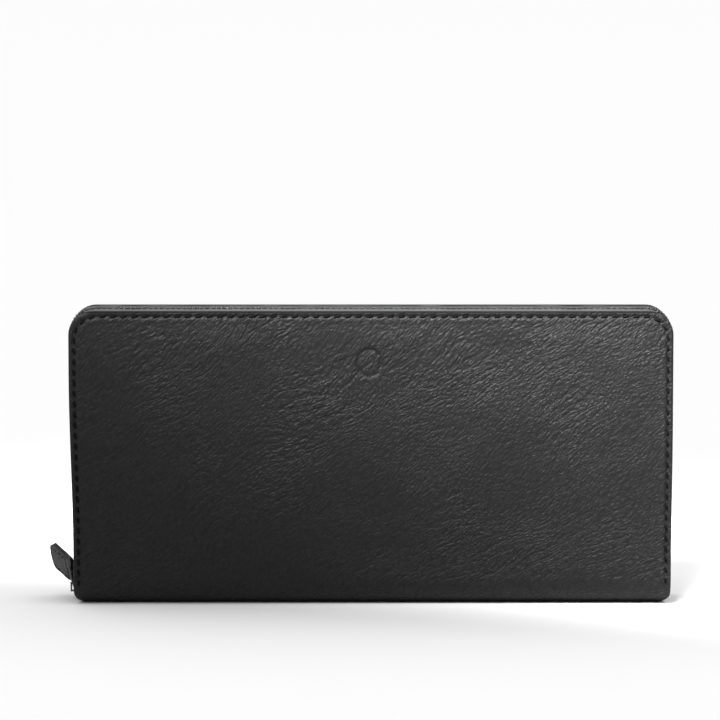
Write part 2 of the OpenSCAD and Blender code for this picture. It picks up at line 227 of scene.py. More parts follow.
# %% [markdown]
# ## A sheet with a rolled edge
# Leather is skived thin along its edge, turned over and pressed, so the edge of a finished piece is round.
# The rings above make it: wide steps on the outer face, a half circle round the edge, and back inside.

# %% Plates
def plate_rows(thickness, roll, steps, inner):
    """Inset and depth of each ring: the outer face from the middle out, round the rolled edge, and back."""
    turn = np.linspace(0, np.pi, roll)
    r = thickness / 2
    inset = np.concatenate([steps[::-1], r * (1 - np.sin(turn)), inner])
    depth = np.concatenate([np.zeros(len(steps)), r * (1 - np.cos(turn)), np.full(len(inner), thickness)])
    return inset, depth


def plate(name, box, thickness, place, radii=(1, 1), counts=(60, 30, 5), steps=None, relief=None):
    """Sheet with a rolled edge: rings in a plane, depth less relief, put in space by place(x, z, depth)."""
    half = min(box[1] - box[0], box[3] - box[2]) / 2
    if steps is None:
        steps = np.concatenate([[thickness * 0.8], np.linspace(1.5, half, 6)])
    inset, depth = plate_rows(thickness, 7, steps, np.linspace(thickness, half, 5))
    x, z = ring_points(ring_plan(*counts), inset, box, *radii)
    depth = np.broadcast_to(depth[:, None], x.shape)
    if relief is not None:
        outer = (np.arange(len(inset)) < len(steps) + 3)[:, None]
        depth = depth - outer * relief(x, z, inset[:, None])
    rows, cols = x.shape
    return make_object(name, place(x, z, depth), grid_faces(rows, cols, True))


print("rows over a rolled edge:", len(plate_rows(1, 7, np.zeros(0), np.zeros(0))[0]))

# %% [markdown]
# ## The wrapped hide
# One hide covers the wallet: down the front, round a soft fold to the narrow base, and up the back. A point on
# the hide is named by x, along the length, and q, up the cover; q runs on below the fold as if the hide lay
# flat, so rows stay evenly spaced round the bend. The sides draw in towards the spine, whose ends are round.

# %% Where the hide lies
Q_FOLD = FOLD_R                                    # the fold starts here
Q_BASE = FOLD_R * (1 - math.pi / 2)                # the fold ends here
Q_END = Q_BASE - FOLD_Y                            # middle of the base
LEAN_LEFT, LEAN_RIGHT = 1.2, 0.35                  # how far each side draws in towards the spine


def side_limit(z, left):
    """Half width at height z: HALF_W less the quarter circle at the spine's ends and less the side's lean."""
    below = np.maximum(SPINE_CORNER - z, 0)
    dip = SPINE_CORNER - np.sqrt(np.maximum(SPINE_CORNER**2 - below**2, 0))
    lean_left = LEAN_LEFT * ease(78 - z, 0, 62)
    lean_right = LEAN_RIGHT * ease(60 - z, 0, 50)
    return HALF_W - dip - np.where(left > 0, lean_left, lean_right)


def on_hide(front):
    """Placing function of a hide: y = FOLD_Y + r cos(bend), z = FOLD_R - r sin(bend) round the fold."""
    way = -1 if front else 1

    def place(x, q, depth):
        bend = np.clip((Q_FOLD - q) / FOLD_R, 0, math.pi / 2)
        r = FOLD_R - depth
        y = FOLD_Y + r * np.cos(bend)
        z = np.where(q >= Q_FOLD, q, FOLD_R - r * np.sin(bend))
        y = np.where(q < Q_BASE, FOLD_Y - (Q_BASE - q), y)
        z = np.where(q < Q_BASE, depth, z)
        x = x * side_limit(z, x < 0) / HALF_W
        return np.stack([x, way * y, z], -1)

    return place


print(f"the hide runs {TOP - Q_END:.0f} mm from the top edge to the middle of the base")

# %% [markdown]
# ## Relief of the hide
# Pressing, sewing and use leave shallow shapes: a raised lip outside the stitches, a groove that the thread
# pulls down, small puckers inside it at the stitches' own pitch, and broad hills where boards and pockets end
# below. A small plain oval is pressed into the front near the top. These shapes are real relief, so that light
# and shadow follow them from every side; the fine grain is left to the finish.

# %% Relief
MARK_X, MARK_Z = -0.6, 80.8
MARK_HALF = (3.9, 4.5)


def pressed_oval(x, q):
    """Depth of the pressed mark: a bell across an oval line, and a shallow floor inside it."""
    reach = np.sqrt(((x - MARK_X) / MARK_HALF[0]) ** 2 + ((q - MARK_Z) / MARK_HALF[1]) ** 2)
    return 0.45 * bell(reach, 1, 0.14) + 0.20 * (1 - ease(reach, 0.8, 1.0))


def hide_relief(seed, marked):
    """Height over the flat hide at (x, q), inset from its edge: lip + groove + puckers + hills - mark."""
    def relief(x, q, inset):
        along = np.where(np.abs(x) > HALF_W - 9, q, x)
        sewn = ease(q, 3.5, 5.5)
        beat = np.cos(2 * np.pi * along / STITCH_PITCH)
        lip = 0.16 * bell(inset, 0.85, 0.45)
        groove = -0.50 * bell(inset, SEAM, 0.42) * (0.75 + 0.25 * beat)
        uneven = 1 + 0.4 * hills(x, q, 9, seed + 5)
        pucker = 0.13 * bell(inset, SEAM + 1.3, 0.8) * (1 + 0.7 * beat * uneven)
        press = -0.22 * (1 - ease(inset, 1.0, 9.0)) * ease(q, 6, 16)
        calm = ease(inset, 2.5, 12)
        broad = 0.16 * hills(x, q, 46, seed) + 0.05 * hills(x, q, 17, seed + 1)
        small = 0.018 * hills(x, q, 6.5, seed + 2)
        pockets = 0.05 * ease(q, 80, 88) - 0.04 * bell(q, 50, 2.5)
        lift = (lip + groove + pucker) * sewn + press
        lift = lift + calm * (broad + pockets) * ease(q, 2, 14) + small * calm
        return lift - (pressed_oval(x, q) if marked else 0)

    return relief


print(f"depth of the mark's line: {pressed_oval(MARK_X + MARK_HALF[0], MARK_Z):.2f} mm")

# %% [markdown]
# ## Front and back hide
# Each half is a sheet with rows every 0.4 mm near the sewn edge, and reaches the middle of the base. The front
# half rides on no body of the frame; the back half never moves against the spine.

# %% Make the two hides
sewn_rows, calm_rows = np.arange(0.8, 6, 0.4), np.arange(6, 12, 0.9)
mark_rows, middle_rows = np.arange(12, 22.8, 0.32), np.arange(23, 54, 1.7)
hide_steps = np.concatenate([sewn_rows, calm_rows, mark_rows, middle_rows])
HIDE_BOX = (-HALF_W, HALF_W, Q_END, TOP)


def hide(name, front, seed):
    """One half of the hide, 300 columns along it and 150 up it, with its own hills."""
    return plate(name, HIDE_BOX, LEATHER, on_hide(front), (TOP_R, 0.8), (300, 150, 12), hide_steps,
                 hide_relief(seed, front))


front_hide = hide("hide_front", True, 11)
back_hide = hide("hide_back", False, 37)
print("hide faces:", len(front_hide.data.polygons) + len(back_hide.data.polygons))

# %% [markdown]
# ## Stitches
# A saddle stitch shows as a short thread that lies in the groove and dives into a hole at both ends, a little
# slanted. One stitch is a bent capsule of a few dozen faces; the seam is that capsule repeated at the pitch
# along the seam's line.

# %% Stitches along a line
STITCH_SIDES = 6


def resample(line, pitch):
    """Points every pitch along a line of points, with the direction of travel at each."""
    step = np.linalg.norm(np.diff(line, axis=0), axis=1)
    run = np.concatenate([[0], np.cumsum(step)])
    count = int(run[-1] // pitch)
    at = (np.arange(count) + 0.5) * run[-1] / count
    pick = lambda s: np.stack([np.interp(s, run, line[:, k]) for k in range(3)], -1)
    ahead = pick(np.minimum(at + 0.2, run[-1])) - pick(np.maximum(at - 0.2, 0))
    return pick(at), ahead / np.linalg.norm(ahead, axis=1)[:, None]


def stitch_row(name, line, out, pitch=STITCH_PITCH, length=2.5, r=0.40, slant=0.3, lift=0.0):
    """Bent capsules: centre line t length / 2 along the seam, height lift - 0.45 t^4, for t in -1..1."""
    centre, along = resample(line, pitch)
    out = np.broadcast_to(np.asarray(out, float), centre.shape)
    side = np.cross(out, along)
    along = along * math.cos(slant) + side * math.sin(slant)
    side = np.cross(out, along)
    t = np.array([-1, -0.88, -0.55, 0, 0.55, 0.88, 1.0])
    thick = r * np.array([0.25, 0.75, 1, 1, 1, 0.75, 0.25])
    turn = np.arange(STITCH_SIDES) * 2 * np.pi / STITCH_SIDES
    axial = t * length / 2
    height = lift - 0.45 * t**4
    ring = (centre[:, None, None] + along[:, None, None] * axial[None, :, None, None]
            + out[:, None, None] * (height[None, :, None, None]
                                    + (thick[:, None] * np.sin(turn))[None, :, :, None])
            + side[:, None, None] * (thick[:, None] * np.cos(turn))[None, :, :, None])
    size = len(t) * STITCH_SIDES
    one = grid_faces(len(t), STITCH_SIDES, True)
    faces = (one[None] + size * np.arange(len(centre))[:, None, None]).reshape(-1, 4)
    ends = [[i * size + j for j in range(STITCH_SIDES)] for i in range(len(centre))]
    ends += [[(i + 1) * size - 1 - j for j in range(STITCH_SIDES)] for i in range(len(centre))]
    return make_object(name, ring, faces, ends)


STITCH_POINTS = 7 * STITCH_SIDES            # seven rings make a stitch
print("corners of one stitch:", STITCH_POINTS)

# %% [markdown]
# ## The covers' seams
# The seam follows the cover's edge at one distance, up one side, over the top and down the other, and stops
# above the spine. It is a ring like the hide's own rows, so the thread lies in the groove all the way round.

# %% Sew the covers
def seam_line(front, stop_left=5.0, stop_right=6.0):
    """Points of the ring at inset SEAM whose q lies above the stops, placed on the hide 0.32 mm deep."""
    x, q = ring_points(ring_plan(300, 300, 40), [SEAM], HIDE_BOX, TOP_R, 0.8)
    x, q = x[0], q[0]
    start = int(np.argmax(x * 1000 - np.abs(q - 50)))          # a point in the middle of the right side
    x, q = np.roll(x, -start), np.roll(q, -start)
    keep = q > np.where(x < 0, stop_left, stop_right)
    low = np.flatnonzero(~keep)
    x, q = np.roll(x, -low[-1] - 1), np.roll(q, -low[-1] - 1)
    keep = np.roll(keep, -low[-1] - 1)
    return on_hide(front)(x[keep], q[keep], np.full(keep.sum(), 0.32))


front_seam = stitch_row("seam_front", seam_line(True), (0, -1, 0))
back_seam = stitch_row("seam_back", seam_line(False), (0, 1, 0))
print("stitches on one cover:", len(front_seam.data.vertices) // STITCH_POINTS)

# %% [markdown]
# ## The zip's path
# The teeth follow an arch: up the left side, round a corner, along the top and down the right. The side runs
# lean in towards the spine, so that the parked slider hides between the covers. The path is worked out from
# the frame's own box of the teeth.

# %% Arch of the zip
teeth_low, teeth_high = node_box("zip_coil_back")
zip_way = next(j for j in record["behaviour"]["joints"] if j["name"] == "zip_slide")["axis"]
SLOPE = math.atan2(abs(zip_way[0]), abs(zip_way[2]))
ZIP_R = 9.0
ZIP_CZ = teeth_high[2] - ZIP_R
ZIP_CX = teeth_high[0] - ZIP_R
ZIP_START = teeth_low[2]


def arch(inset, spacing, z_low=ZIP_START):
    """Points every spacing along the arch's lines and corners: places, outward normals, length so far."""
    r = ZIP_R - inset
    side = np.array([ZIP_CX + r * math.cos(SLOPE), 0, ZIP_CZ - r * math.sin(SLOPE)])
    low = side - np.array([math.tan(SLOPE), 0, 1]) * (side[2] - z_low)
    angle = np.linspace(-SLOPE, math.pi / 2, 60)
    corner = np.stack([ZIP_CX + r * np.cos(angle), 0 * angle, ZIP_CZ + r * np.sin(angle)], -1)
    right = np.concatenate([[low], corner])
    line = np.concatenate([right * [-1, 1, 1], right[::-1]])
    step = np.linalg.norm(np.diff(line, axis=0), axis=1)
    run = np.concatenate([[0], np.cumsum(step)])
    at = np.linspace(0, run[-1], int(run[-1] / spacing) + 1)
    points = np.stack([np.interp(at, run, line[:, k]) for k in range(3)], -1)
    way = np.gradient(points, axis=0)
    way /= np.linalg.norm(way, axis=1)[:, None]
    return points, np.cross(way, [0, 1, 0]) * [1, 0, 1], at


print(f"length of the zip: {arch(0, 0.5)[2][-1]:.0f} mm")

# %% [markdown]
# ## Nylon teeth
# Nylon teeth are one long monofilament wound into a flat spiral, one for each side, sewn to the tapes. The
# spirals mesh in the middle of the wallet's edge. A helix with an oval section gives that: its wide axis lies
# across the zip, and the second one starts half a turn later.

# %% Wind the two coils
# pitch of the turns, half width (reach) and half height (high) of the spiral, radius of its wire
LONG_ZIP = {"pitch": 1.15, "reach": 1.0, "high": 0.72, "wire": 0.27}
COIN_ZIP = {"pitch": 1.0, "reach": 0.55, "high": 0.5, "wire": 0.2}


def coil(name, points, normals, run, middle, shift, pitch, reach, high, wire, sides=5, per_turn=10):
    """Tube round an oval helix: across = middle + reach cos(turn), up = high sin(turn)."""
    turns = run[-1] / pitch
    at = np.linspace(0, run[-1], int(turns * per_turn))
    centre = np.stack([np.interp(at, run, points[:, k]) for k in range(3)], -1)
    normal = np.stack([np.interp(at, run, normals[:, k]) for k in range(3)], -1)
    turn = 2 * np.pi * at / pitch + shift
    across = np.array([0, 1.0, 0])
    radial = normal * np.sin(turn)[:, None] * high + across * np.cos(turn)[:, None] * reach
    path = centre + across * middle + radial
    way = np.gradient(path, axis=0)
    way /= np.linalg.norm(way, axis=1)[:, None]
    lift = radial / np.linalg.norm(radial, axis=1)[:, None]
    lift = lift - way * np.sum(lift * way, axis=1)[:, None]
    lift /= np.linalg.norm(lift, axis=1)[:, None]
    other = np.cross(way, lift)
    turn = np.arange(sides) * 2 * np.pi / sides
    turn = turn[:, None]
    ring = path[:, None] + wire * (lift[:, None] * np.cos(turn) + other[:, None] * np.sin(turn))
    return tube(name, ring)


teeth_path = arch(LONG_ZIP["high"] + LONG_ZIP["wire"], 0.5)
coil_front = coil("zip_teeth_front", *teeth_path, -0.78, 0, **LONG_ZIP)
coil_back = coil("zip_teeth_back", *teeth_path, 0.78, np.pi, **LONG_ZIP)
print("turns in one spiral:", int(teeth_path[2][-1] / LONG_ZIP["pitch"]))

# %% [markdown]
# ## Zip tapes
# Each tape is a woven ribbon from inside the cover to the teeth, with a thicker corded edge under the spiral.
# It bows inwards a little between them. Its section is a thin closed loop carried along the arch.

# %% Weave the tapes
tape_low = node_box("zip_tape_back")[0]
TAPE = 0.55                                 # thickness of the tape


def tape(name, way):
    """Section carried along the arch: depth = 0.35 sin(pi share across) and a fat edge at the teeth."""
    across = np.array([0.9, 1.6, 2.4, 4, 6, 8, 10, 11.2, 11.7])
    sag = 0.35 * np.sin(np.pi * np.clip((across - 1.6) / 10, 0, 1))
    edge = 0.32 * bell(across, 1.3, 0.6)
    outer = np.stack([across, sag - edge], -1)
    inner = np.stack([across, sag + TAPE + edge], -1)[::-1]
    section = np.concatenate([outer, inner])
    points, normals, run = arch(1.05, 1.2, tape_low[2])
    ripple = 0.06 * hills(run, 0 * run, 14, 5)
    sunk = (section[None, :, 1] + ripple[:, None])[..., None]
    rings = points[:, None] - normals[:, None] * sunk + np.array([0, way, 0]) * section[None, :, 0, None]
    return flat_edges(tube(name, rings), 60)


tape_front = tape("zip_ribbon_front", -1)
tape_back = tape("zip_ribbon_back", 1)
print("rows along a tape:", len(tape_front.data.vertices) // 18)


# %% [markdown]
# ## Thread beside the teeth
# The spirals are sewn to their tapes by machine, with small stitches right beside the teeth. They follow the
# same arch, a little further from the middle.

# %% Sew the spirals
def tape_seam(name, way):
    """Thread that sews the spiral to the tape: a row of small stitches beside the teeth."""
    points, normals, run = arch(0.78, 0.6, tape_low[2] + 1)
    line = points + np.array([0, way * 2.05, 0])
    centre, along = resample(line, 1.9)
    step = np.searchsorted(run, np.linspace(0, run[-1], len(centre)))
    out = normals[np.minimum(step, len(normals) - 1)]
    return stitch_row(name, line, out, 1.9, 1.4, 0.14, 0.0, 0.0)


tape_seam_front = tape_seam("zip_thread_front", -1)
tape_seam_back = tape_seam("zip_thread_back", 1)
print("stitches on a tape:", len(tape_seam_front.data.vertices) // STITCH_POINTS)

# %% [markdown]
# ## The pull tab
# The tab is one strip of leather folded round the wire loop and sewn to itself, with a thin filler between its
# two ends. It is drawn in its own directions: along the tab, across it (the loop's bar) and out of its face.
# The joint of the tab gives where the bar is and which way it runs.

# %% The tab's own directions
joints = {j["name"]: j for j in record["behaviour"]["joints"]}
tab_at = np.array(joints["pull_tab_hinge"]["pos_m"]) / MM
bar = np.array(joints["pull_tab_hinge"]["axis"])
TAB_LEN, TAB_HALF, TAB_THICK = 13.0, 5.0, 2.0
loop_at = np.array(joints["pull_loop_hinge"]["pos_m"]) / MM
up_loop = (tab_at - loop_at) / np.linalg.norm(tab_at - loop_at)
flat_along = np.cross([0, 1.0, 0], up_loop)
out_loop = -flat_along if flat_along[0] > 0 else flat_along
in_loop = np.cross(out_loop, bar)
in_loop = in_loop if in_loop[1] > 0 else -in_loop
LIFT = math.radians(29)
tab_along = math.cos(LIFT) * in_loop + math.sin(LIFT) * out_loop
tab_out = math.cos(LIFT) * out_loop - math.sin(LIFT) * in_loop
tab_across = bar
tab_tip = tab_at + tab_along * TAB_LEN
print("tab points to", tab_tip.round(1), "from", tab_at.round(1))


def in_tab(along, across, out):
    """Point in space from the tab's own three measures."""
    along, across, out = np.broadcast_arrays(along, across, out)
    return tab_at + along[..., None] * tab_along + across[..., None] * tab_across + out[..., None] * tab_out


# %% [markdown]
# ## Fold the tab's strip
# The strip is a grid: one way runs from the tip, over the bar and back to the tip, the other across the tab.
# The upper layer is stepped over the filler, and both layers are pinched where they are sewn. Solidify then
# gives the strip its thickness and Bevel rounds its cut edges, as a maker would with an edge tool.

# %% Fold the strip round the bar
TIP_R = 2.4                                 # corner radius at the tab's tip
LAYER = 0.64                                # the two layers lie this far above and below the bar
FOLD_END = 1.4                              # the fold ends here


def tab_half_width(along):
    """Half width at a distance from the bar: TAB_HALF - r (1 - sqrt(1 - corner^2)), round at the tip."""
    corner = np.clip((along - (TAB_LEN - TIP_R)) / TIP_R, 0, 1)
    return TAB_HALF - 0.15 - TIP_R * (1 - np.sqrt(1 - corner**2)) + 0.12 * ease(along, 4, 10)


def tab_strip():
    """Grid (u, v): u goes down the inner layer, round the bar as (-0.6 cos, 0.72 sin), and up the outer."""
    reach = TAB_LEN - np.linspace(0, 1, 46) ** 1.6 * (TAB_LEN - FOLD_END)
    fold = np.linspace(-np.pi / 2, np.pi / 2, 15)[1:-1]
    near = np.linspace(FOLD_END, 0.0, 6)[1:]
    along = np.concatenate([reach, near, -0.60 * np.cos(fold), near[::-1], reach[::-1]])
    step_up = lambda a: LAYER - 0.28 * (1 - ease(a, 2.3, 2.5)) + 0.36 * (1 - ease(a, 0, 1.6))
    upper = [step_up(near[::-1]), step_up(reach[::-1])]
    out = np.concatenate([0 * reach - LAYER, 0 * near - LAYER, 0.72 * np.sin(fold), *upper])
    across = np.linspace(-1, 1, 25)
    width = tab_half_width(np.maximum(along, 0))
    v = across[None, :] * width[:, None]
    near_edge = (1 - np.abs(across))[None, :] * width[:, None]
    face = np.sign(out)[:, None]
    groove = 0.10 * bell(near_edge, 1.1, 0.35) * (along > 2)[:, None]
    pinch = 0.10 * bell(near_edge, 0, 0.5)
    u = np.broadcast_to(along[:, None], v.shape)
    o = out[:, None] - face * (groove + pinch) + 0.05 * hills(u, v, 7, 3)
    return in_tab(u, v, o)


points = tab_strip()
tab_piece = make_object("tab_strip", points, grid_faces(points.shape[0], points.shape[1], False))
shell = tab_piece.modifiers.new("thickness", "SOLIDIFY")
shell.thickness = 0.72 * MM
shell.offset = 0
soften = tab_piece.modifiers.new("soft edge", "BEVEL")
soften.width = 0.14 * MM
soften.segments = 2
soften.limit_method = "ANGLE"
print("rows along the strip:", points.shape[0])


# %% [markdown]
# ## Filler and thread of the tab
# A thin filler keeps the two layers flat, and one row of thread runs down one edge, round the tip and back.

# %% Fill and sew the tab
def tab_core():
    """Rolled sheet between the layers, 0.35 mm inside the tab's edge."""
    place = lambda x, z, depth: in_tab(z, x, 0.25 - depth)
    half = TAB_HALF - 0.35
    return plate("tab_core", (-half, half, 2.2, TAB_LEN - 0.25), 0.5, place, (2.2, 0.5), (10, 14, 8))


core_piece = tab_core()


def tab_threads():
    """Thread on the tab's outer face: down one edge, round the tip and back."""
    inset = 1.15
    side = np.linspace(2.6, TAB_LEN - 2.6, 30)
    bend = np.linspace(0, np.pi / 2, 12)
    half = TAB_HALF - inset
    r = 1.4
    tip = TAB_LEN - inset - r + r * np.sin(bend)
    edge = half - r * (1 - np.cos(bend))
    x = np.concatenate([side, tip, tip[::-1], side[::-1]])
    y = np.concatenate([0 * side - half, -edge, edge[::-1], 0 * side + half])
    line = in_tab(x, y, np.full(len(x), TAB_THICK / 2 - 0.06))
    return stitch_row("tab_threads", line, tab_out, 2.3, 1.7, 0.2, 0.0, 0.03)


tab_seam = tab_threads()
print("stitches on the tab:", len(tab_seam.data.vertices) // STITCH_POINTS)

# %% [markdown]
# ## Handing pieces over
# Each new piece moves with one body of the frame, or stays at rest with none, and stands in for the frame's
# plainer node. A short helper says this in one line for each piece and remembers which finish it will get.

# %% Piece, body, slot and node
finishes = []                               # pairs of piece and slot


def belongs(piece, body, slot, *nodes):
    """Piece rides on body, if one is given, gets slot's finish and stands in for nodes."""
    if nodes:
        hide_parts(*nodes)
    if body:
        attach(piece, body)
    finishes.append((piece, slot))


belongs(back_hide, "back_and_spine", "outer_leather", "cover_back_leather", "spine_leather")
belongs(back_seam, "back_and_spine", "thread", "stitching_back")
belongs(coil_front, "front_cover", "zip_teeth", "zip_coil_front")
belongs(coil_back, "back_and_spine", "zip_teeth", "zip_coil_back")
belongs(tape_front, "front_cover", "zip_tape", "zip_tape_front")
belongs(tape_back, "back_and_spine", "zip_tape", "zip_tape_back")
belongs(tape_seam_front, "front_cover", "thread")
belongs(tape_seam_back, "back_and_spine", "thread")
belongs(tab_piece, "pull_tab", "outer_leather", "tab_leather")
belongs(core_piece, "pull_tab", "inner_leather", "tab_filler")
belongs(tab_seam, "pull_tab", "thread", "tab_stitching")
print("pieces handed over:", len(finishes))

# %% [markdown]
# ## Linings and card pockets
# Inside, each cover has a cloth lining and four stepped card pockets. A pocket is a strip of thin leather
# whose top edge is turned and creased; one row of stitches down the middle makes two columns. All are plain
# sheets with rolled edges, so one function serves, with its own relief.

# %% Flat sheets on the covers
def on_plane(y, way):
    """Placing function (x, z, depth) -> (x, y - way depth, z) of a sheet that looks along way."""
    return lambda x, z, depth: np.stack([x, np.full_like(x, y) - way * depth, z], -1)


def crease(box, seed):
    """Relief of a pocket: bells of z for the pressed line and the lip at its mouth, and low hills."""
    def relief(x, z, inset):
        line = -0.09 * bell(z, box[3] - 2.2, 0.35)
        mouth = 0.07 * bell(z, box[3] - 0.9, 0.6)
        return line + mouth + 0.03 * hills(x, z, 21, seed) * ease(inset, 1, 5)
    return relief


def sheet_for(node, name, way, radius=1.0, seed=0, creased=False, counts=(90, 40, 4)):
    """Sheet that stands where a flat node lies, facing the wallet's middle or away from it."""
    low, high = node_box(node)
    box = (low[0], high[0], low[2], high[2])
    y = high[1] if way > 0 else low[1]
    half = min(high[0] - low[0], high[2] - low[2]) / 2
    steps = np.concatenate([np.arange(0.4, 3.4, 0.4), np.linspace(4, half, 8)])
    relief = crease(box, seed) if creased else None
    piece = plate(name, box, high[1] - low[1], on_plane(y, way), (radius, radius), counts, steps, relief)
    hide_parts(node)
    return piece


before = len(finishes)
for side, way, body in (("back", -1, "back_and_spine"), ("front", 1, "front_cover")):
    belongs(sheet_for(f"cover_{side}_lining", f"lining_{side}", way), body, "lining_cloth")
    for n in (1, 2, 3, 4):
        pocket = sheet_for(f"{side}_card_pocket_{n}", f"card_pocket_{side}_{n}", way, 1.5, 40 + n, True)
        belongs(pocket, body, "inner_leather")
for side, way in (("front", -1), ("back", 1)):
    wall = sheet_for(f"coin_wall_{side}", f"coin_leather_{side}", way, 2, 50, True)
    cloth = sheet_for(f"coin_lining_{side}", f"coin_cloth_{side}", -way)
    for n in (1, 2):
        slip = sheet_for(f"mid_pocket_{side}_{n}", f"slip_pocket_{side}_{n}", way, 1.5, 60 + n, True)
        belongs(slip, "coin_block", "inner_leather")
    belongs(wall, "coin_block", "inner_leather")
    belongs(cloth, "coin_block", "lining_cloth")
print("inner sheets:", len(finishes) - before)

# %% [markdown]
# ## Seams of the card pockets
# Three straight seams hold the four strips: one at each side and one down the middle, which divides them into
# two columns. A strip is sewn only where it isn't covered by the next one, on its own face.

# %% Stitches that divide and hold the pockets
def pocket_threads(side, way, body):
    """Straight runs of stitches at three x, each from one pocket's mouth to the next, on its face."""
    low, high = node_box(f"{side}_card_pocket_1")
    rows = []
    tops = [node_box(f"{side}_card_pocket_{n}")[1][2] for n in (4, 3, 2, 1)]
    faces = [node_box(f"{side}_card_pocket_{n}")[0 if way < 0 else 1][1] for n in (4, 3, 2, 1)]
    starts = [low[2] + 1.5] + [t + 0.6 for t in tops[:-1]]
    for x in (low[0] + 1.4, 0.0, high[0] - 1.4):
        for z0, z1, y in zip(starts, tops, faces):
            z = np.linspace(z0, z1 - 0.8, 12)
            rows.append(np.stack([np.full(12, x), np.full(12, y + way * 0.02), z], -1))
    for i, line in enumerate(rows):
        thread = stitch_row(f"pocket_thread_{side}_{i}", line, (0, way, 0), 2.6, 1.9, 0.16, 0.0, 0.02)
        belongs(thread, body, "thread")
    print(f"runs of thread inside the {side} cover:", len(rows))


pocket_threads("back", -1, "back_and_spine")
pocket_threads("front", 1, "front_cover")

# %% [markdown]
# ## Spine lining
# Cloth lines the spine from one cover to the other. It is one sheet carried round the inside of the folds.

# %% Cloth inside the spine
def spine_cloth():
    """Section (y, z) = (-FOLD_Y - r cos, FOLD_R - r sin) and its mirror image, carried along the length."""
    low, high = node_box("spine_lining")
    r = FOLD_R - low[2]
    bend = np.linspace(0, np.pi / 2, 14)
    top = FOLD_R + 3.5
    left_y = np.concatenate([[-FOLD_Y - r] * 3, -FOLD_Y - r * np.cos(bend)])
    left_z = np.concatenate([np.linspace(top, FOLD_R + 0.6, 3), FOLD_R - r * np.sin(bend)])
    y = np.concatenate([left_y, -left_y[::-1]])
    z = np.concatenate([left_z, left_z[::-1]])
    inner_r = 1 - 0.5 / r
    y2, z2 = y * inner_r, np.where(z < FOLD_R, FOLD_R - (FOLD_R - z) * inner_r, z)
    x = np.linspace(low[0], high[0], 40)
    section = np.concatenate([np.stack([y, z], -1), np.stack([y2, z2], -1)[::-1]])
    rings = np.stack(np.broadcast_arrays(x[:, None], section[:, 0], section[:, 1]), -1)
    return flat_edges(tube("spine_cloth", rings), 50)


spine_cloth_piece = spine_cloth()
print("faces of the spine's cloth:", len(spine_cloth_piece.data.polygons))

# %% [markdown]
# ## Side gussets
# Four folded sheets of thin leather join the covers to the coin pocket, so that the wallet opens like an
# accordion and nothing falls out at the sides. The fold is shallow at the spine and deep at the top. Each
# sheet laps over the coin pocket's end, where it is sewn. On the real wallet each sheet turns with the pocket
# at one edge and with the cover at the other, and the pocket turns half as far as the cover; here the sheets
# are left at rest and ride on no body of the frame.

# %% Fold the gussets
HEM = 1.2                                   # a gusset laps this far over the coin pocket's end
POCKET_END = node_box("coin_wall_front")[1][0]


def gusset(name, node, x_way, y_way):
    """Grid (z, t): x = line from cover edge to pocket edge - depth(z) (1 - |2 t - 1|), folded inwards."""
    low, high = node_box(node)
    z = np.linspace(low[2], high[2], 40)
    t = np.linspace(0, 1, 27)
    outer_x, inner_x = np.abs([low[0], high[0]]).max(), POCKET_END - HEM
    depth = 4 + 6.5 * ease(z, 12, 80)
    fold = 1 - np.abs(2 * t - 1)
    fold = fold - 0.12 * bell(t, 0.5, 0.08)
    x = (outer_x + (inner_x - outer_x) * t)[None, :] - fold[None, :] * depth[:, None]
    y_out, y_in = np.abs([low[1], high[1]]).max() - 0.25, np.abs([low[1], high[1]]).min() - 0.55
    y = np.broadcast_to((y_out + (y_in - y_out) * t)[None, :], x.shape)
    points = np.stack([x_way * x, y_way * y, np.broadcast_to(z[:, None], x.shape)], -1)
    piece = make_object(name, points, grid_faces(len(z), len(t), False))
    wall = piece.modifiers.new("thickness", "SOLIDIFY")
    wall.thickness = 0.45 * MM
    wall.offset = 0
    belongs(piece, None, "inner_leather", node)
    if y_way > 0:
        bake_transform(piece)
    else:
        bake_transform(piece)
    return piece


for a, y_way in (("back", 1), ("front", -1)):
    for b, x_way in (("left", -1), ("right", 1)):
        gusset(f"fold_{a}_{b}", f"gusset_{a}_{b}", x_way, y_way)
print(f"gussets end {POCKET_END - HEM:.1f} mm from the middle")

# %% [markdown]
# ## The coin pocket's zip
# A smaller zip closes the coin pocket between the two covers. Its teeth are a straight pair of spirals on the
# middle line, up to the parked slider.

# %% Coin zip
coin_low, coin_high = node_box("coin_coil")


def straight_line(x0, x1, z):
    """200 points from x0 to x1 at height z, with normals straight up."""
    at = np.linspace(0, x1 - x0, 200)
    points = np.stack([x0 + at, 0 * at, 0 * at + z], -1)
    return points, np.broadcast_to([0, 0, 1.0], points.shape), at


coin_line = straight_line(coin_low[0], coin_high[0], (coin_low[2] + coin_high[2]) / 2 + 0.1)
coin_teeth = coil("coin_teeth_front", *coin_line, -0.36, 0, **COIN_ZIP)
coin_teeth_back = coil("coin_teeth_back", *coin_line, 0.36, np.pi, **COIN_ZIP)
belongs(coin_teeth, "coin_block", "zip_teeth", "coin_coil")
belongs(coin_teeth_back, "coin_block", "zip_teeth")
print("turns in a coin spiral:", int(coin_line[2][-1] / COIN_ZIP["pitch"]))

# %% [markdown]
# ## Pieces that cross the fold
# The front hide, its seam and the spine's cloth cross the fold: on the real wallet the part below the fold
# stays with the spine and the part above swings with the cover. Here they are left at rest and ride on no body
# of the frame.

# %% Blend over the fold
for piece in (front_hide, front_seam):
    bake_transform(piece)
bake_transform(spine_cloth_piece)
belongs(front_hide, None, "outer_leather", "cover_front_leather")
belongs(front_seam, None, "thread", "stitching_front")
belongs(spine_cloth_piece, None, "lining_cloth", "spine_lining")
print("pieces handed over:", len(finishes))

# %% [markdown]
# ## Materials
# Each finish is a small node graph on Object coordinates, which are metres from the wallet's origin, so a
# scale of 600 gives a pattern of about 1.7 mm. A helper keeps the graphs short.

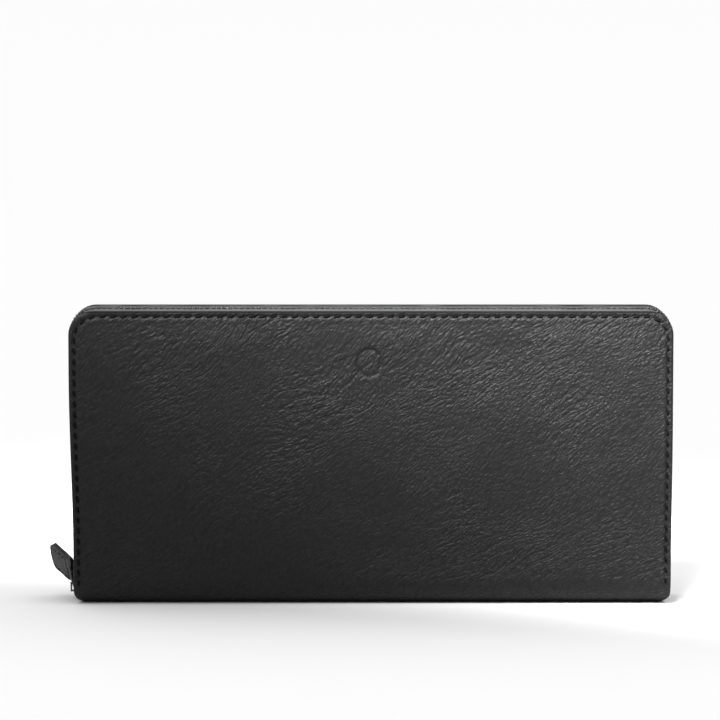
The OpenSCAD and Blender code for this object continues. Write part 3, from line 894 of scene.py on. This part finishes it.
# %% Node helpers
WAVE = math.pi / 10          # a wave texture at scale 1 repeats after this length


class Graph:
    """One material and short ways to add nodes to it."""

    def __init__(self, name, colour, rough):
        self.mat = bpy.data.materials.new(name)
        self.mat.use_nodes = True
        self.tree = self.mat.node_tree
        self.shader = self.tree.nodes["Principled BSDF"]
        self.shader.inputs["Base Color"].default_value = (*colour, 1)
        self.shader.inputs["Roughness"].default_value = rough
        self.place = self.add("ShaderNodeTexCoord").outputs["Object"]

    def add(self, kind, links=(), **values):
        """New node with its properties set; links maps each input to a socket or to a constant."""
        node = self.tree.nodes.new(kind)
        for key, value in values.items():
            setattr(node, key, value)
        for socket, source in dict(links).items():
            if hasattr(source, "is_linked"):
                self.tree.links.new(source, node.inputs[socket])
            else:
                node.inputs[socket].default_value = source
        return node

    def warped(self, size, amount):
        """Object coordinates pushed about by noise, so that no pattern looks ruled."""
        noise = self.add("ShaderNodeTexNoise", {"Vector": self.place, "Scale": 1 / size, "Detail": 2.0})
        shift = self.vector("SUBTRACT", noise.outputs["Color"], (0.5, 0.5, 0.5))
        far = self.add("ShaderNodeVectorMath", {0: shift, "Scale": amount}, operation="SCALE").outputs[0]
        return self.vector("ADD", self.place, far)

    def vector(self, kind, a, b):
        return self.add("ShaderNodeVectorMath", {0: a, 1: b}, operation=kind).outputs[0]

    def stretched(self, vector, turn, scale):
        """Coordinates in which a pattern is drawn out by scale along axes turned by turn."""
        links = {"Vector": vector, "Rotation": turn, "Scale": scale}
        return self.add("ShaderNodeMapping", links, vector_type="TEXTURE").outputs[0]

    def noise(self, vector, size, detail=3.0, rough=0.5):
        """Noise with features of about size metres."""
        links = {"Vector": vector, "Scale": 1 / size, "Detail": detail, "Roughness": rough}
        return self.add("ShaderNodeTexNoise", links).outputs["Fac"]

    def domes(self, vector, size):
        """Rounded cells: 1 at a cell's centre, falling with the distance from it."""
        cell = self.add("ShaderNodeTexVoronoi", {"Vector": vector, "Scale": 1 / size}, feature="F1")
        return self.math("SUBTRACT", 1.0, cell.outputs["Distance"])

    def waves(self, vector, rib, way):
        """Bands across one axis, one every rib metres, a little shaken."""
        links = {"Vector": vector, "Scale": WAVE / rib, "Distortion": 0.6, "Detail": 1.0}
        node = self.add("ShaderNodeTexWave", links, wave_type="BANDS", bands_direction=way)
        return node.outputs["Fac"]

    def math(self, kind, a, b=0.0, c=0.0):
        return self.add("ShaderNodeMath", {0: a, 1: b, 2: c}, operation=kind).outputs[0]

    def span(self, value, low, high, out_low=0.0, out_high=1.0):
        """Smooth ramp from out_low to out_high as value goes from low to high."""
        links = {"Value": value, "From Min": low, "From Max": high, "To Min": out_low, "To Max": out_high}
        return self.add("ShaderNodeMapRange", links, interpolation_type="SMOOTHSTEP").outputs["Result"]

    def blend(self, amount, dark, light):
        """Colour that goes from dark to light as amount goes from 0 to 1."""
        node = self.add("ShaderNodeMix", data_type="RGBA")
        node.inputs[6].default_value = (*dark, 1)
        node.inputs[7].default_value = (*light, 1)
        self.tree.links.new(amount, node.inputs[0])
        return node.outputs[2]

    def bump(self, height, depth, under=None):
        """Normal bent by height times depth metres, on top of the normal under it."""
        node = self.add("ShaderNodeBump", {"Height": height, "Distance": depth, "Strength": 1.0})
        if under is not None:
            self.tree.links.new(under, node.inputs["Normal"])
        return node.outputs["Normal"]

    def finish(self, normal, colour, rough=None):
        """Connect the shader and return the material."""
        for socket, source in (("Normal", normal), ("Base Color", colour), ("Roughness", rough)):
            if source is not None:
                self.tree.links.new(source, self.shader.inputs[socket])
        return self.mat


print("a pattern of 1 mm needs a scale of", 1 / MM)

# %% [markdown]
# ### Pebbled leather
# A pebbled grain is small rounded cells with narrow valleys between them. Distance to the nearest point of a
# Voronoi pattern gives the domes; two sizes are mixed, and noise warps them. Long shallow creases cross the
# hide on the slant, where it was rolled. Valleys are darker and rougher than the polished tops. Grain this
# fine is bump, since its shape never shows at an edge.

# %% Leather finishes
GRAIN_SLANT, CREASE_SLANT = math.radians(-43), math.radians(-33)
# colour of the painted shade on the turned top edge
PAINTED_EDGE_SHADE = (0.001, 0.001, 0.001, 1)


def pebbled_leather(name, tint, rough, pebble=0.85, depth=0.46, fold_depth=0.16):
    """Height = 0.62 large domes + 0.3 small domes, less creases where a slanted noise crosses 0.5."""
    g = Graph(name, tint, rough)
    drift = g.warped(0.045, 0.016)
    flow = g.stretched(drift, (0, GRAIN_SLANT, 0), (2.1, 1.3, 1.0))
    shake = g.vector("SUBTRACT", g.warped(0.0024, 0.0009), g.place)
    flow = g.vector("ADD", flow, shake)
    large, small = g.domes(flow, pebble * MM), g.domes(flow, 0.47 * pebble * MM)
    grain = g.math("ADD", g.math("MULTIPLY", large, 0.62), g.math("MULTIPLY", small, 0.3))
    patch = g.noise(g.place, 0.034, 2.0)
    drawn = g.stretched(drift, (0, CREASE_SLANT, 0), (5.0, 1.0, 1.0))
    line = g.math("ABSOLUTE", g.math("SUBTRACT", g.noise(drawn, 0.0034, 3.0, 0.5), 0.5))
    folds = g.math("MULTIPLY", g.span(line, 0.0, 0.08, 1.0, 0.0), g.span(patch, 0.40, 0.62))
    strength = g.span(patch, 0.3, 0.7, 0.65, 1.0)
    normal = g.bump(g.math("MULTIPLY", folds, strength), -fold_depth * MM)
    normal = g.bump(g.math("MULTIPLY", grain, strength), depth * MM, normal)
    normal = g.bump(g.noise(g.place, 0.0003, 2.0), 0.012 * MM, normal)
    dark, light = [tuple(share * c for c in tint) for share in (0.6, 1.3)]
    colour = g.blend(g.span(g.math("ADD", grain, g.math("MULTIPLY", patch, 0.25)), 0.3, 1.0), dark, light)
    polish = g.span(grain, 0.25, 0.85, rough + 0.10, rough - 0.04)
    # painted shade on the turned edge along the top: a darker colour, and matt
    height = g.add("ShaderNodeSeparateXYZ", {0: g.place}).outputs["Z"]
    top_edge_band = g.span(height, (TOP - 0.9) * MM, (TOP - 0.45) * MM)
    polish = g.math("ADD", polish, g.math("MULTIPLY", top_edge_band, 0.35))
    colour = g.add("ShaderNodeMix", {0: top_edge_band, 6: colour, 7: PAINTED_EDGE_SHADE}, data_type="RGBA").outputs[2]
    g.shader.inputs["Specular IOR Level"].default_value = 0.25
    return g.finish(normal, colour, polish)


hide_leather = pebbled_leather("pebbled leather", (0.008, 0.008, 0.008), 0.5)
thin_leather = pebbled_leather("smooth pocket leather", (0.014, 0.0135, 0.014), 0.44, 0.8, 0.10, 0.05)
tab_leather = pebbled_leather("tab leather", (0.028, 0.028, 0.028), 0.5, 0.8, 0.08, 0.03)
print("nodes in the hide's finish:", len(hide_leather.node_tree.nodes))


# %% [markdown]
# ### Cloth, tape and thread
# Twill lining and herringbone tape are ribs: a wave across the weave, broken up by a second wave. Thread is
# twisted and waxed: a fine slanted wave, nearly matt, with little light straight off its surface.

# %% Woven finishes
def woven(name, tint, rough, rib, axis_turn, sheen, depth=0.05, specular=0.5):
    """Height and colour = wave along X times (0.5 + 0.5 wave along Z), both one rib long."""
    g = Graph(name, tint, rough)
    along = g.stretched(g.place, axis_turn, (1, 1, 1))
    cross = g.math("ADD", 0.5, g.math("MULTIPLY", g.waves(along, rib, "Z"), 0.5))
    weave = g.math("MULTIPLY", g.waves(along, rib, "X"), cross)
    fuzz = g.noise(g.place, 0.0003, 2.0)
    normal = g.bump(fuzz, 0.02 * MM, g.bump(weave, depth * MM))
    colour = g.blend(weave, tuple(0.5 * c for c in tint), tuple(1.3 * c for c in tint))
    g.shader.inputs["Sheen Weight"].default_value = sheen
    g.shader.inputs["Sheen Roughness"].default_value = 0.5
    g.shader.inputs["Specular IOR Level"].default_value = specular
    return g.finish(normal, colour)


lining_cloth = woven("twill lining", (0.03, 0.03, 0.034), 0.8, 0.0005, (0, 0.8, 0), 0.06)
tape_cloth = woven("herringbone tape", (0.035, 0.035, 0.036), 0.8, 0.0007, (0, 0, 0.6), 0.03)
BLACK_WAX = (0.0025, 0.0025, 0.0025)
waxed_thread = woven("waxed thread", BLACK_WAX, 0.8, 0.0002, (0.5, 0.6, 0), 0.0, 0.03, 0.12)
print("woven finishes:", lining_cloth.name, tape_cloth.name, waxed_thread.name, sep=", ")


# %% [markdown]
# ### Nylon, metal and board
# Nylon is smooth and a little glossy. The slider, loop and stops are black plated metal with fine tumbling
# marks. The board is pressed grey fibre that never shows unless the wallet is taken apart.

# %% Hard finishes
def nylon():
    """Near-black, with colour and roughness that both follow one soft noise."""
    g = Graph("black nylon", (0.012, 0.012, 0.013), 0.34)
    g.shader.inputs["Coat Weight"].default_value = 0.2
    drawn = g.noise(g.place, 0.003)
    colour = g.blend(g.span(drawn, 0.3, 0.7), (0.009, 0.009, 0.010), (0.016, 0.016, 0.017))
    return g.finish(g.bump(g.noise(g.place, 0.0004), 0.015 * MM), colour, g.span(drawn, 0.3, 0.7, 0.28, 0.42))


def plated_metal():
    """Dark metal, lighter and rougher in the patches where the plating has worn."""
    g = Graph("black plated metal", (0.05, 0.05, 0.054), 0.3)
    g.shader.inputs["Metallic"].default_value = 1.0
    wear = g.noise(g.place, 0.0022, 4.0, 0.6)
    colour = g.blend(g.span(wear, 0.35, 0.75), (0.035, 0.035, 0.038), (0.085, 0.085, 0.09))
    return g.finish(g.bump(g.noise(g.place, 0.0005), 0.01 * MM), colour, g.span(wear, 0.3, 0.7, 0.22, 0.4))


def fibre_board():
    """Grey flecks that are bump and colour at once."""
    g = Graph("pressed board", (0.4, 0.38, 0.34), 0.85)
    fleck = g.noise(g.place, 0.0012, 4.0, 0.7)
    return g.finish(g.bump(fleck, 0.05 * MM), g.blend(fleck, (0.3, 0.28, 0.25), (0.5, 0.48, 0.44)))


nylon_black, metal_black, board_grey = nylon(), plated_metal(), fibre_board()
print("hard finishes:", nylon_black.name, metal_black.name, board_grey.name, sep=", ")

# %% [markdown]
# ### Each finish on its pieces
# The frame's own record names a material slot for every node, and every new piece was given one when it was
# handed over. One table from slot to finish dresses them all. Only the tab is an exception: its leather is
# thinner and smoother than the covers', so it has a finish of its own.

# %% Put each finish on its pieces
by_slot = {"outer_leather": hide_leather, "inner_leather": thin_leather, "lining_cloth": lining_cloth,
           "stiffener_board": board_grey, "zip_tape": tape_cloth, "zip_teeth": nylon_black,
           "black_metal": metal_black, "thread": waxed_thread}


def dress(piece, material):
    """Give a piece one material."""
    piece.data.materials.clear()
    piece.data.materials.append(material)


for piece, slot in finishes:
    dress(piece, by_slot[slot])
dress(tab_piece, tab_leather)
for entry in record["subparts"]:
    part = frame["nodes"][entry["node"]]
    for k in range(max(1, len(part.material_slots))):
        if not part.material_slots:
            part.data.materials.append(by_slot[entry["material_slot"]])
        part.material_slots[k].material = by_slot[entry["material_slot"]]
print("materials:", len(by_slot) + 1)

# %% [markdown]
# ## Floor
# The wallet stands on a plain pale floor that reaches far enough to be its own background.

# %% Floor
FLOOR = 16.0                                # half the floor's side, in metres
floor_mesh = bpy.data.meshes.new("floor")
corners = [(-FLOOR, -FLOOR, 0), (FLOOR, -FLOOR, 0), (FLOOR, FLOOR, 0), (-FLOOR, FLOOR, 0)]
floor_mesh.from_pydata(corners, [], [(0, 1, 2, 3)])
floor = bpy.data.objects.new("floor", floor_mesh)
bpy.context.collection.objects.link(floor)
white = Graph("floor white", (0.86, 0.86, 0.86), 0.9)
dress(floor, white.mat)
floor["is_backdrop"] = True
print(f"floor {2 * FLOOR:.0f} m square")

# %% [markdown]
# ## Light
# Black leather shows its grain only where light grazes it. One long lamp stands close above and in front of
# the top edge, with a grid that keeps it off the floor. The sky is pale overhead and dark at the horizon, so
# the upper part of the front is lighter than its foot.

# %% Lights
def aim(thing, target):
    """Turn a light or camera so that its -Z points at the target."""
    way = np.asarray(target, float) - np.asarray(thing.location)
    flat = math.hypot(way[0], way[1])
    thing.rotation_euler = (math.atan2(flat, -way[2]), 0, math.atan2(-way[0], way[1]))


def soft_light(name, place, target, size, power):
    """Rectangular lamp with a narrow spread, aimed at target and hidden from the camera."""
    data = bpy.data.lights.new(name, "AREA")
    data.shape = "RECTANGLE"
    data.size, data.size_y = size
    data.energy = power
    data.spread = math.radians(30)              # a grid keeps the light off the floor in front
    lamp = bpy.data.objects.new(name, data)
    bpy.context.collection.objects.link(lamp)
    lamp.location = place
    lamp.visible_camera = False
    aim(lamp, target)
    return lamp


key = soft_light("key", (-0.10, -0.20, 0.34), (0, 0, 0.125), (0.50, 0.05), 0.85)
world = bpy.data.worlds.new("pale sky")
world.use_nodes = True
sky = world.node_tree
height = sky.nodes.new("ShaderNodeSeparateXYZ")
glow = sky.nodes.new("ShaderNodeMapRange")
glow.interpolation_type = "SMOOTHSTEP"
for socket, value in (("From Min", 0.1), ("From Max", 0.9), ("To Min", 0.05), ("To Max", 1.60)):
    glow.inputs[socket].default_value = value
sky.links.new(sky.nodes.new("ShaderNodeTexCoord").outputs["Generated"], height.inputs[0])
sky.links.new(height.outputs["Z"], glow.inputs["Value"])
sky.links.new(glow.outputs["Result"], sky.nodes["Background"].inputs["Strength"])
sky.nodes["Background"].inputs["Color"].default_value = (1, 1, 1, 1)
bpy.context.scene.world = world
bpy.context.scene.view_settings.view_transform = "Standard"
print("lamp", key.name, "at", tuple(round(v, 2) for v in key.location))

# %% [markdown]
# ## Camera
# A small object looks its true shape from far away through a long lens. The camera looks straight at the
# front from a little above, so that the zip just shows over the front cover.

# %% Camera
ELEVATION = math.radians(5.8)
DISTANCE = 1.5
camera_data = bpy.data.cameras.new("camera")
camera_data.sensor_width = 36
camera_data.lens = 225
camera = bpy.data.objects.new("camera", camera_data)
bpy.context.collection.objects.link(camera)
target = np.array([-0.0036, 0, 0.0805])
camera.location = target + DISTANCE * np.array([0, -math.cos(ELEVATION), math.sin(ELEVATION)])
aim(camera, target)
bpy.context.scene.camera = camera
print("camera at", tuple(round(v, 3) for v in camera.location))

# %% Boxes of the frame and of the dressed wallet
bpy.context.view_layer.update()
({"cad": [list(map(float, corner)) for corner in cad_box],
           "visual": [list(map(float, corner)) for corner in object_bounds()]})
